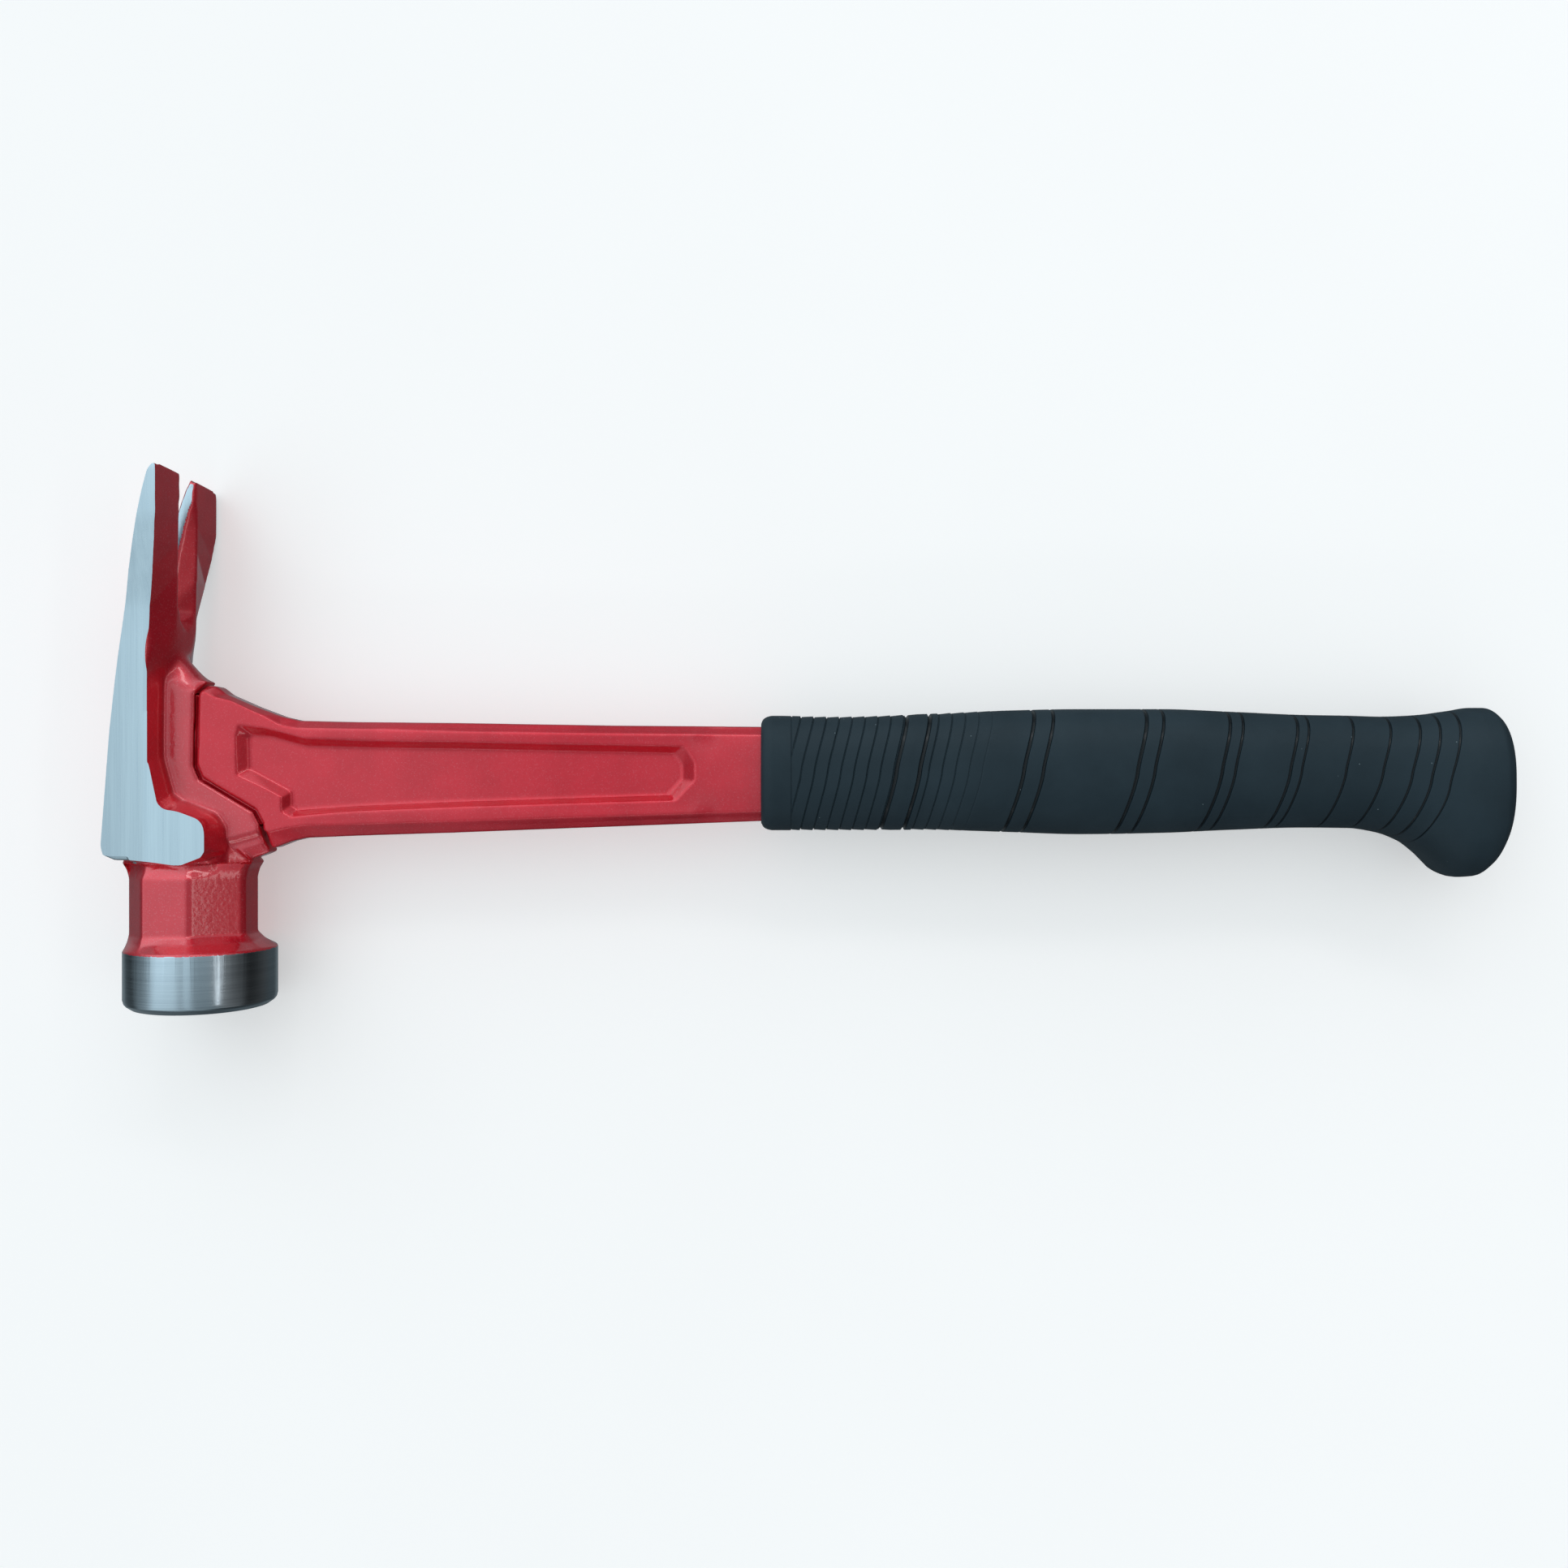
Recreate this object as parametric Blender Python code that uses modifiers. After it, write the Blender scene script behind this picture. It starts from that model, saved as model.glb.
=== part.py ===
"""A framing hammer with a forged steel head, an I-section steel shank and a moulded grip.

It lies on its side: +X runs from the head to the butt of the grip, +Y from the striking face to the
claw, and +Z up through the side. The origin is under the middle of the box, on the surface it lies on.
"""

import math

import bmesh
import bpy
from mathutils import Matrix

MM = 0.001
GAP = 0.3  # clearance between neighbouring pieces

# Driving dimensions, all in millimetres.
LENGTH = 318.0  # top of the head to the butt
HEIGHT = 122.2  # striking face to claw tip
POLL_RADIUS = 16.5
MID = POLL_RADIUS  # height of the middle plane over the surface that the hammer lies on
HEAD_TOP = -LENGTH / 2
BUTT = LENGTH / 2
CLAW_TIP = HEIGHT / 2
FACE = -HEIGHT / 2

# The claw, and the cheek beside the shank.
CLAW_HALF_WIDTH = 15.8  # at the tip
CHEEK_HALF_WIDTH = 11.6
FLANK_SLOPE = 0.21  # how fast the sides close in towards the top of the head
CLAW_CROWN = 0.3  # how far its top swells at the middle
RIDGE_HALF = 5.0  # from the middle to each ridge of its underside
TIP_DROP = 1.05  # from the tines' inner corners to their outer ones
TIP_PEAK = 1.4  # how far the tip's middle, before it is slotted, stands out past its corners
SLOT_HALF_TIP = 3.8
SLOT_HALF_ROOT = 0.8
SLOT_ROOT_Y = 34.0

# The neck and the striking poll.
POLL_X = HEAD_TOP + 18.9  # axis of the poll
NECK_X = HEAD_TOP + 17.2  # axis of the neck, a little nearer the top of the head
NECK_HALF_X = 13.3
NECK_HALF_Z = 11.4
NECK_FLAT_X = (-6.7, 3.5)  # where the octagon's side flats start and end, from its axis
NECK_FLAT_Z = 4.0  # half width of its other flats
POLL_BACK = FACE + 13.6
FACE_CHAMFER = (1.5, 2.1)  # along the axis, and along the radius
# The octagon on its way into the head, as (y, how far it grows in x, and in z).
NECK_RINGS = ((-24.4, -1.5, -1.5), (-28.0, 1.4, -0.9), (-29.6, 0.5, -0.5), (-31.6, 0.0, 0.0))
NECK_FLARE = ((3.3, 0.0), (1.6, 0.4), (0.0, 1.0))  # behind the poll, and how far it has turned round
ROUND_STEPS = 72

# The groove that holds a nail, and its magnet.
NAIL_GROOVE_WIDTH = 5.5
NAIL_GROOVE_DEPTH = 5.2
NAIL_GROOVE_BACK = FACE + 27.0
MAGNET_RADIUS = 2.1
MAGNET_HEIGHT = 3.6
MAGNET_Y = FACE + 8.5
MAGNET_PROUD = 0.4

# The web of the head, the joint and the shank.
WEB_HALF = 4.8
EDGE_HALF = 2.4  # half thickness where the edge chamfers end
JOINT_GAP = 0.8
WELD_THICKNESS = 1.5
WELD_HALF = 3.9
RECESS_FLOOR_HALF = 2.7
SHANK_END = 6.3  # where its full section stops, inside the grip

# The grip.
GRIP_FRONT = -11.3
SLEEVE_WALL = 3.4
TANG_END = 140.0
TANG_TOP = 0.0
TANG_BOTTOM = -16.0
TANG_HALF = 3.0
LOCK_HOLES = (22.0, 64.0, 106.0)
LOCK_HOLE_RADIUS = 3.6

# The joint between head and shank, as (x, y) from the claw side to the neck side.
JOINT_PATH = (
    (-135.2, 14.6), (-138.0, 12.4), (-139.3, 10.2), (-139.7, -5.9), (-138.5, -8.9),
    (-126.3, -16.2), (-124.7, -19.2), (-124.5, -21.7), (-122.8, -26.2),
)  # fmt: skip

WELD_PATH = JOINT_PATH[2:7]  # it stops short of both edges

# Claw and cheek, as (y, x of the top, x of the underside at its edge and at its ridges, half width).
CLAW_SECTIONS = (
    (CLAW_TIP - TIP_DROP, -144.3, -143.4, -143.2, CLAW_HALF_WIDTH - 0.4),
    (58.6, -145.4, -143.4, -143.2, CLAW_HALF_WIDTH),
    (54.6, -146.6, -143.4, -143.2, CLAW_HALF_WIDTH),
    (49.8, -147.8, -143.4, -143.2, CLAW_HALF_WIDTH - 0.1),
    (44.0, -149.3, -144.1, -143.3, 14.8),
    (37.3, -151.0, -144.9, -143.4, 13.3),
    (28.6, -152.7, -145.8, -143.5, 11.8),
    (22.6, -153.7, -146.6, -143.7, CHEEK_HALF_WIDTH),
    (18.0, -154.4, -147.1, -145.0, CHEEK_HALF_WIDTH),
    (13.0, -155.1, -147.2, -146.6, CHEEK_HALF_WIDTH),
    (1.6, -156.5, -147.2, -146.8, CHEEK_HALF_WIDTH),
    (-24.0, HEAD_TOP + CLAW_CROWN, -147.2, -146.8, CHEEK_HALF_WIDTH),
    (-26.0, -158.2, -147.2, -146.8, CHEEK_HALF_WIDTH - 0.3),
    (-27.2, -155.6, -147.2, -146.8, CHEEK_HALF_WIDTH - 1.0),
)

# The hollow between the ridges of the underside, as (y, x of the ridges, half width, depth).
HOLLOW_SECTIONS = (
    (63.0, -143.2, 4.5, 0.4),
    (58.0, -143.2, 4.7, 1.7),
    (53.5, -143.2, 4.7, 4.0),
    (50.5, -143.2, 4.7, 5.1),
    (45.0, -143.3, 4.7, 5.5),
    (38.0, -143.4, 4.6, 5.4),
    (30.0, -143.5, 4.4, 3.8),
    (27.0, -143.5, 3.4, 1.5),
    (25.0, -143.6, 1.5, 0.3),
)

# The foot of the cheek, as (x, y), at its ground side and at the web.
FOOT_SIDE = (
    (-151.7, -6.4), (-146.9, -5.8), (-145.0, -14.6), (-143.5, -15.9), (-140.7, -16.1),
    (-135.9, -17.9), (-134.7, -19.4), (-134.7, -25.2), (-135.5, -26.4), (-140.1, -28.2),
    (-151.7, -26.6),
)  # fmt: skip
FOOT_BASE = (
    (-151.7, -4.4), (-146.7, -4.2), (-144.5, -12.2), (-142.3, -14.0), (-139.2, -15.0),
    (-134.5, -17.0), (-132.5, -20.0), (-132.1, -26.0), (-134.1, -27.8), (-139.3, -29.6),
    (-151.7, -28.8),
)  # fmt: skip

# The web of the head, as (x, y), at the end of its edge chamfer and on its flat.
WEB_EDGE = (
    (-150.7, 25.0), (-146.7, 23.2), (-143.3, 18.5), (-139.9, 14.7), (-137.6, 13.0),
    *JOINT_PATH[1:8], (-122.9, -25.3), (-124.9, -26.3), (-130.6, -28.2), (-150.7, -31.0),
)  # fmt: skip
WEB_FLAT = (
    (-150.7, 16.0), (-147.3, 14.8), (-145.3, 13.7), (-141.1, 11.6), (-139.7, 10.9),
    (-139.5, 10.7), *JOINT_PATH[2:7], (-124.8, -20.7), (-125.2, -21.3), (-125.5, -21.5),
    (-131.4, -23.2), (-150.7, -25.0),
)  # fmt: skip

# The shank, as (x, y), at the end of its edge chamfer and on its flat.
SHANK_EDGE = (
    *reversed(JOINT_PATH[1:8]), (-135.7, 12.2), (-133.2, 10.3), (-127.0, 7.6), (-120.9, 5.3),
    (-116.5, 4.3), (-103.4, 4.0), (-81.2, 3.8), (-44.9, 3.2), (SHANK_END, 2.8), (SHANK_END, -18.0),
    (-55.3, -20.3), (-81.2, -21.3), (-103.4, -22.0), (-115.3, -22.5), (-118.7, -23.3),
    (-123.3, -25.1),
)  # fmt: skip
SHANK_FLAT = (
    (-124.4, -20.6), *reversed(JOINT_PATH[2:7]), (-138.3, 11.0), (-136.0, 9.8), (-131.3, 8.6),
    (-125.1, 5.7), (-120.1, 3.0), (-116.7, 2.4), (-102.8, 2.2), (-80.8, 1.6), (-44.9, 1.1),
    (SHANK_END, 0.8), (SHANK_END, -15.8), (-55.3, -17.8), (-81.2, -18.6), (-102.8, -19.2), (-114.1, -19.4),
    (-118.8, -20.0), (-122.9, -21.0),
)  # fmt: skip

# The recess in each side of the shank, as (x, y), at the flat and at its floor.
RECESS_RIM = (
    (-130.0, 3.3), (-130.5, 1.0), (-130.3, -8.2), (-120.1, -13.2), (-120.1, -16.6),
    (-118.1, -17.8), (-102.7, -16.4), (-80.7, -15.5), (-30.7, -14.0), (-26.3, -9.4),
    (-26.3, -5.4), (-28.7, -1.6), (-80.7, -0.6), (-102.7, -0.2), (-115.0, 0.2), (-124.3, 2.6),
)  # fmt: skip
RECESS_FLOOR = (
    (-127.3, 1.0), (-128.1, 0.2), (-127.9, -6.6), (-118.3, -11.8), (-118.3, -15.0),
    (-117.1, -16.0), (-102.7, -15.0), (-80.7, -14.1), (-32.7, -12.6), (-29.3, -9.0),
    (-29.3, -5.8), (-31.3, -3.2), (-80.7, -2.2), (-102.7, -2.0), (-115.0, -1.6), (-122.7, 0.6),
)  # fmt: skip

# The grip's outline, as (x, top y, bottom y, half thickness).
GRIP_SECTIONS = (
    (GRIP_FRONT, 3.7, -19.0, 8.6),
    (-10.5, 4.9, -20.2, 9.8),
    (-8.7, 5.5, -20.8, 10.3),
    (6.0, 5.3, -20.8, 10.6),
    (26.0, 5.9, -20.7, 11.2),
    (45.3, 6.7, -21.2, 11.9),
    (61.3, 7.0, -21.7, 12.3),
    (80.3, 7.0, -21.4, 12.3),
    (96.3, 6.4, -20.7, 12.0),
    (112.3, 5.7, -20.2, 11.7),
    (123.3, 5.5, -20.3, 11.6),
    (130.3, 5.3, -21.3, 11.7),
    (136.5, 5.5, -23.6, 12.1),
    (141.3, 5.9, -27.2, 12.7),
    (144.8, 6.4, -30.6, 13.2),
    (147.6, 6.8, -31.5, 13.6),
    (150.8, 7.3, -31.3, 13.8),
    (153.4, 7.3, -29.5, 13.6),
    (155.4, 6.1, -26.6, 12.4),
    (157.1, 3.4, -22.6, 9.9),
    (158.4, -0.8, -16.8, 6.2),
    (BUTT, -5.8, -11.8, 2.6),
)
GRIP_STEPS = 40
GRIP_SQUARENESS = 2.5  # 2 is an ellipse, and more is squarer


def new_collection(name):
    made = bpy.data.collections.new(name)
    bpy.context.scene.collection.children.link(made)
    return made


def clear_scene():
    for obj in list(bpy.data.objects):
        bpy.data.objects.remove(obj)


def material(name, colour, roughness, metallic):
    made = bpy.data.materials.new(name)
    made.use_nodes = True
    shader = made.node_tree.nodes["Principled BSDF"]
    shader.inputs["Base Color"].default_value = (*colour, 1.0)
    shader.inputs["Roughness"].default_value = roughness
    shader.inputs["Metallic"].default_value = metallic
    made.diffuse_color = (*colour, 1.0)
    return made


def object_of(name, bm, collection):
    """An object holding this bmesh, whose coordinates are millimetres, with its faces turned outwards."""
    bmesh.ops.recalc_face_normals(bm, faces=bm.faces)
    bmesh.ops.scale(bm, vec=(MM, MM, MM), verts=bm.verts)
    mesh = bpy.data.meshes.new(name)
    bm.to_mesh(mesh)
    bm.free()
    obj = bpy.data.objects.new(name, mesh)
    collection.objects.link(obj)
    return obj


def loft(rings, flat_ends=True):
    """A closed skin over rings of points that match one to one."""
    bm = bmesh.new()
    made = [[bm.verts.new(point) for point in ring] for ring in rings]
    count = len(made[0])
    twisted = []
    for ring, following in zip(made, made[1:]):
        for i in range(count):
            j = (i + 1) % count
            twisted.append(bm.faces.new((ring[i], ring[j], following[j], following[i])))
    ends = [bm.faces.new(made[0]), bm.faces.new(reversed(made[-1]))]
    if not flat_ends:
        twisted += ends
    # A twisted face has no one plane, which a Boolean needs.
    bmesh.ops.triangulate(bm, faces=twisted)
    return bm


def plate(edge, flat, edge_half, flat_half):
    """A plate about the middle plane: outline `edge` up to edge_half, closing to `flat` at flat_half."""
    levels = ((flat, -flat_half), (edge, -edge_half), (edge, edge_half), (flat, flat_half))
    return loft([[(x, y, MID + z) for x, y in outline] for outline, z in levels])


def pocket(rim, floor, rim_half, floor_half, side):
    """A cutter that opens from its floor to beyond the flat on one side, +1 or -1, of the plate."""
    slope = (rim_half - floor_half) / (rim_half + 1.0 - floor_half)
    outer = [
        (fx + (rx - fx) / slope, fy + (ry - fy) / slope)
        for (rx, ry), (fx, fy) in zip(rim, floor)
    ]
    levels = ((floor, floor_half), (outer, rim_half + 1.0))
    return loft([[(x, y, MID + side * z) for x, y in outline] for outline, z in levels])


def stretched(path, more):
    """The path with both of its ends carried on by this much."""
    ends = []
    for (ax, ay), (bx, by) in ((path[0], path[1]), (path[-1], path[-2])):
        share = more / math.hypot(ax - bx, ay - by)
        ends.append((ax + (ax - bx) * share, ay + (ay - by) * share))
    return (ends[0], *path[1:-1], ends[1])


def ribbon(path, half_height, more=0.0):
    """An open strip standing on the path, for a Solidify modifier to thicken."""
    path = stretched(path, more)
    bm = bmesh.new()
    low = [bm.verts.new((x, y, MID - half_height)) for x, y in path]
    high = [bm.verts.new((x, y, MID + half_height)) for x, y in path]
    for i in range(len(path) - 1):
        bm.faces.new((low[i], low[i + 1], high[i + 1], high[i]))
    return bm


def box(centre, size):
    bm = bmesh.new()
    bmesh.ops.create_cube(bm, size=1.0)
    bmesh.ops.scale(bm, vec=size, verts=bm.verts)
    bmesh.ops.translate(bm, vec=centre, verts=bm.verts)
    return bm


def rod(centre, radius, length, axis, steps=32):
    """A cylinder about a centre, along "x" or "z"."""
    bm = bmesh.new()
    bmesh.ops.create_cone(
        bm, cap_ends=True, segments=steps, radius1=radius, radius2=radius, depth=length
    )
    if axis == "x":
        turn = Matrix.Rotation(math.pi / 2, 3, "Y")
        bmesh.ops.rotate(bm, cent=(0, 0, 0), matrix=turn, verts=bm.verts)
    bmesh.ops.translate(bm, vec=centre, verts=bm.verts)
    return bm


def solidify(obj, thickness):
    modifier = obj.modifiers.new("Thickness", "SOLIDIFY")
    modifier.thickness = thickness * MM
    modifier.offset = 0
    modifier.use_even_offset = True


def bevel(obj, width, segments=2, angle=30):
    modifier = obj.modifiers.new("Rounded edges", "BEVEL")
    modifier.width = width * MM
    modifier.segments = segments
    modifier.limit_method = "ANGLE"
    modifier.angle_limit = math.radians(angle)
    modifier.use_clamp_overlap = True
    return modifier


def boolean(obj, other, operation="DIFFERENCE"):
    modifier = obj.modifiers.new(operation.title() + " " + other.name, "BOOLEAN")
    modifier.operation = operation
    modifier.object = other


def helper(name, bm, cutters):
    obj = object_of(name, bm, cutters)
    obj.hide_render = True
    obj.display_type = "WIRE"
    return obj


def smooth(obj, angle=35):
    obj.data.shade_smooth()
    obj.data.set_sharp_from_angle(angle=math.radians(angle))


def claw_ring(y, top, under, ridge, half, peak=0.0):
    upper = half - FLANK_SLOPE * (under - top)
    at_ridge = y + peak * (1 - RIDGE_HALF / half)
    return [
        (top - CLAW_CROWN, y + peak, MID),
        (top, y, MID + upper),
        (under, y, MID + half),
        (ridge, at_ridge, MID + RIDGE_HALF),
        (ridge, at_ridge, MID - RIDGE_HALF),
        (under, y, MID - half),
        (top, y, MID - upper),
    ]


def claw_body():
    rings = [claw_ring(*CLAW_SECTIONS[0], peak=TIP_PEAK)]
    rings += [claw_ring(*section) for section in CLAW_SECTIONS[1:]]
    return loft(rings, flat_ends=False)


def octagon_radius(angle, grow_x, grow_z):
    """Distance from the neck's axis to its octagon in one direction, with the octagon grown."""
    half_x, half_z = NECK_HALF_X + grow_x, NECK_HALF_Z + grow_z
    c, s = math.cos(angle), abs(math.sin(angle))
    side = NECK_FLAT_Z + grow_x * 0.4
    top = (NECK_FLAT_X[1] if c > 0 else -NECK_FLAT_X[0]) + grow_z * 0.4
    c = abs(c)
    # The slanted flat runs from (half_x, side) to (top, half_z).
    nx, nz = half_z - side, half_x - top
    slant = (nx * half_x + nz * side) / max(nx * c + nz * s, 1e-9)
    return min(half_x / max(c, 1e-9), half_z / max(s, 1e-9), slant)


def round_ring(y, centre, radii):
    """A ring across the head's Y direction, with one radius for each of its directions."""
    ring = []
    for i, radius in enumerate(radii):
        angle = 2 * math.pi * i / len(radii)
        ring.append((centre + radius * math.cos(angle), y, MID + radius * math.sin(angle)))
    return ring


def neck_ring(y, share, grow_x=0.0, grow_z=0.0):
    """The octagon, turned by a share from 0 to 1 into the circle of the poll."""
    full = POLL_RADIUS - 0.3
    radii = []
    for i in range(ROUND_STEPS):
        angle = 2 * math.pi * i / ROUND_STEPS
        radii.append(octagon_radius(angle, grow_x, grow_z) * (1 - share) + full * share)
    return round_ring(y, NECK_X + (POLL_X - NECK_X) * share, radii)


def neck_and_poll():
    """One loft: an octagonal neck that opens into the block above and flares out to the round poll."""
    rings = [neck_ring(y, 0.0, grow_x, grow_z) for y, grow_x, grow_z in NECK_RINGS]
    rings += [neck_ring(POLL_BACK + along, share) for along, share in NECK_FLARE]
    axial, radial = FACE_CHAMFER
    rings.append(round_ring(POLL_BACK - 0.4, POLL_X, [POLL_RADIUS] * ROUND_STEPS))
    rings.append(round_ring(FACE + axial, POLL_X, [POLL_RADIUS] * ROUND_STEPS))
    rings.append(round_ring(FACE, POLL_X, [POLL_RADIUS - radial] * ROUND_STEPS))
    return loft(rings)


def claw_slot():
    """The V-shaped slit between the tines, open at the tip."""
    reach = 3.0
    grow = (SLOT_HALF_TIP - SLOT_HALF_ROOT) / (CLAW_TIP - SLOT_ROOT_Y)
    wide = SLOT_HALF_TIP + grow * reach
    outline = [(CLAW_TIP + reach, wide), (SLOT_ROOT_Y, SLOT_HALF_ROOT)]
    outline += [
        (SLOT_ROOT_Y - SLOT_HALF_ROOT * math.sin(t), SLOT_HALF_ROOT * math.cos(t))
        for t in (math.pi / 4, math.pi / 2, 3 * math.pi / 4)
    ]
    outline += [(SLOT_ROOT_Y, -SLOT_HALF_ROOT), (CLAW_TIP + reach, -wide)]
    return loft([[(x, y, MID + z) for y, z in outline] for x in (HEAD_TOP - 1.0, HEAD_TOP + 24.0)])


def claw_bevel():
    """The V-section hollow that leads a nail into the slit, on the underside of the claw."""
    lift = 0.6  # how far the cutter stands out of the underside
    rings = []
    for y, under, half, depth in HOLLOW_SECTIONS:
        wide = half * (depth + lift) / depth
        rings.append(
            [
                (under + lift, y, MID - wide),
                (under + lift, y, MID + wide),
                (under - depth, y, MID),
            ]
        )
    return loft(rings)


def nail_groove():
    """A square-bottomed groove in the top of the poll and neck, open at the face."""
    floor = POLL_X - POLL_RADIUS + NAIL_GROOVE_DEPTH
    front, back = FACE - 1.0, NAIL_GROOVE_BACK
    half = NAIL_GROOVE_WIDTH / 2
    rings = []
    for y, depth in ((front, floor), (back, floor - 1.0)):
        rings.append(
            [
                (HEAD_TOP - 4.0, y, MID - half),
                (depth - 1.2, y, MID - half),
                (depth - 0.35, y, MID - half + 0.35),
                (depth, y, MID - half + 1.2),
                (depth, y, MID + half - 1.2),
                (depth - 0.35, y, MID + half - 0.35),
                (depth - 1.2, y, MID + half),
                (HEAD_TOP - 4.0, y, MID + half),
            ]
        )
    return loft(rings)


def magnet_centre():
    along = (MAGNET_Y - FACE) / (NAIL_GROOVE_BACK - FACE)
    floor = POLL_X - POLL_RADIUS + NAIL_GROOVE_DEPTH - along
    return (floor - MAGNET_PROUD + MAGNET_HEIGHT / 2, MAGNET_Y, MID)


def make_head(parts, cutters, paint):
    head = object_of("hammer_head", claw_body(), parts)
    foot = helper("head_foot", plate(FOOT_BASE, FOOT_SIDE, WEB_HALF, CHEEK_HALF_WIDTH + 0.1), cutters)
    web = helper("head_web", plate(WEB_EDGE, WEB_FLAT, EDGE_HALF, WEB_HALF), cutters)
    poll = helper("head_poll", neck_and_poll(), cutters)
    for piece in (foot, web, poll):
        boolean(head, piece, "UNION")
    boolean(head, helper("slot_cut", claw_slot(), cutters))
    boolean(head, helper("bevel_cut", claw_bevel(), cutters))
    boolean(head, helper("nail_groove_cut", nail_groove(), cutters))
    seat = rod(magnet_centre(), MAGNET_RADIUS + GAP, MAGNET_HEIGHT + 2 * GAP, "x")
    boolean(head, helper("magnet_seat", seat, cutters))
    head.data.materials.append(paint)
    smooth(head)
    return head


def make_joint(head, shank, parts, cutters, steel):
    """A narrow slit parts head and shank, and the weld fills a wider channel below the surface."""
    slit = helper("joint_slit", ribbon(JOINT_PATH, POLL_RADIUS), cutters)
    solidify(slit, JOINT_GAP)
    channel = helper("joint_channel", ribbon(WELD_PATH, WELD_HALF + GAP, GAP), cutters)
    solidify(channel, WELD_THICKNESS + 2 * GAP)
    for piece in (head, shank):
        boolean(piece, slit)
        boolean(piece, channel)
    weld = object_of("joint_weld", ribbon(WELD_PATH, WELD_HALF), parts)
    solidify(weld, WELD_THICKNESS)
    weld.data.materials.append(steel)


def make_shank(parts, cutters, paint):
    shank = object_of("handle_shank", plate(SHANK_EDGE, SHANK_FLAT, EDGE_HALF, WEB_HALF), parts)
    for side, name in ((1, "recess_top"), (-1, "recess_under")):
        cutter = pocket(RECESS_RIM, RECESS_FLOOR, WEB_HALF, RECESS_FLOOR_HALF, side)
        boolean(shank, helper(name, cutter, cutters))
    length = TANG_END
    middle = (length / 2, (TANG_TOP + TANG_BOTTOM) / 2, MID)
    size = (length, TANG_TOP - TANG_BOTTOM, 2 * TANG_HALF)
    tang = helper("tang", box(middle, size), cutters)
    bevel(tang, 1.0, 2)
    boolean(shank, tang, "UNION")
    for x in LOCK_HOLES:
        hole = rod((x, middle[1], MID), LOCK_HOLE_RADIUS, 4 * TANG_HALF, "z")
        boolean(shank, helper(f"lock_hole_{x:.0f}", hole, cutters))
    shank.data.materials.append(paint)
    smooth(shank)
    return shank


def grip_ring(x, top, bottom, half):
    middle, tall = (top + bottom) / 2, (top - bottom) / 2
    power = 2 / GRIP_SQUARENESS
    ring = []
    for i in range(GRIP_STEPS):
        angle = 2 * math.pi * i / GRIP_STEPS
        c, s = math.cos(angle), math.sin(angle)
        y = middle + tall * math.copysign(abs(c) ** power, c)
        z = MID + half * math.copysign(abs(s) ** power, s)
        ring.append((x, y, z))
    return ring


def grip_body(inset):
    """The grip's form shrunk by an inset, and shortened by it at both ends."""
    rings = []
    for x, top, bottom, half in GRIP_SECTIONS:
        thin = inset * min(1.0, (half - 1.0) / (3 * inset)) if inset else 0.0
        if GRIP_FRONT + inset <= x <= BUTT - 1.6 * inset:
            rings.append(grip_ring(x, top - thin, bottom + thin, half - thin))
    if inset:
        front = GRIP_SECTIONS[2]
        rings.insert(0, grip_ring(GRIP_FRONT + inset, front[1] - inset, front[2] + inset, front[3] - inset))
    return loft(rings)


def tang_pocket(cutters):
    """Room for the shank's end and its tang, inside the grip. It follows the shank's outlines."""
    front, end = GRIP_FRONT - 6.0, SHANK_END + GAP
    edge = ((front, 3.3 + GAP), (end, 2.9 + GAP), (end, -18.0 - GAP), (front, -18.8 - GAP))
    flat = ((front, 1.2 + GAP), (end, 0.9 + GAP), (end, -15.8 - GAP), (front, -16.6 - GAP))
    room = helper("shank_room", plate(edge, flat, EDGE_HALF + GAP, WEB_HALF + GAP), cutters)
    length = TANG_END + GAP
    middle = (length / 2, (TANG_TOP + TANG_BOTTOM) / 2, MID)
    size = (length, TANG_TOP - TANG_BOTTOM + 2 * GAP, 2 * (TANG_HALF + GAP))
    boolean(room, helper("tang_room", box(middle, size), cutters), "UNION")
    return room


def make_grip(parts, cutters, hard, soft):
    room = tang_pocket(cutters)
    core = object_of("grip_core", grip_body(SLEEVE_WALL), parts)
    boolean(core, room)
    for x in LOCK_HOLES:
        centre = (x, (TANG_TOP + TANG_BOTTOM) / 2, MID)
        peg = rod(centre, LOCK_HOLE_RADIUS - GAP, 2 * TANG_HALF + 4.0, "z")  # 2 mm into each side
        boolean(core, helper(f"lock_peg_{x:.0f}", peg, cutters), "UNION")
    core.data.materials.append(hard)
    smooth(core)
    sleeve = object_of("grip_sleeve", grip_body(0.0), parts)
    boolean(sleeve, helper("core_room", grip_body(SLEEVE_WALL - GAP), cutters))
    boolean(sleeve, room)
    sleeve.data.materials.append(soft)
    smooth(sleeve)


def make_magnet(parts, gilt):
    magnet = object_of("nail_magnet", rod(magnet_centre(), MAGNET_RADIUS, MAGNET_HEIGHT, "x"), parts)
    magnet.data.materials.append(gilt)
    smooth(magnet)


def main():
    clear_scene()
    parts = new_collection("framing_hammer")
    cutters = new_collection("cutters")
    red = material("red paint", (0.52, 0.03, 0.05), 0.3, 0.35)
    steel = material("ground steel", (0.45, 0.5, 0.54), 0.32, 1.0)
    hard = material("hard plastic", (0.03, 0.03, 0.035), 0.5, 0.0)
    soft = material("soft rubber", (0.018, 0.024, 0.029), 0.75, 0.0)
    gilt = material("gilt magnet", (0.45, 0.3, 0.12), 0.35, 1.0)
    head = make_head(parts, cutters, red)
    shank = make_shank(parts, cutters, red)
    make_joint(head, shank, parts, cutters, steel)
    make_grip(parts, cutters, hard, soft)
    make_magnet(parts, gilt)


main()
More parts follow.
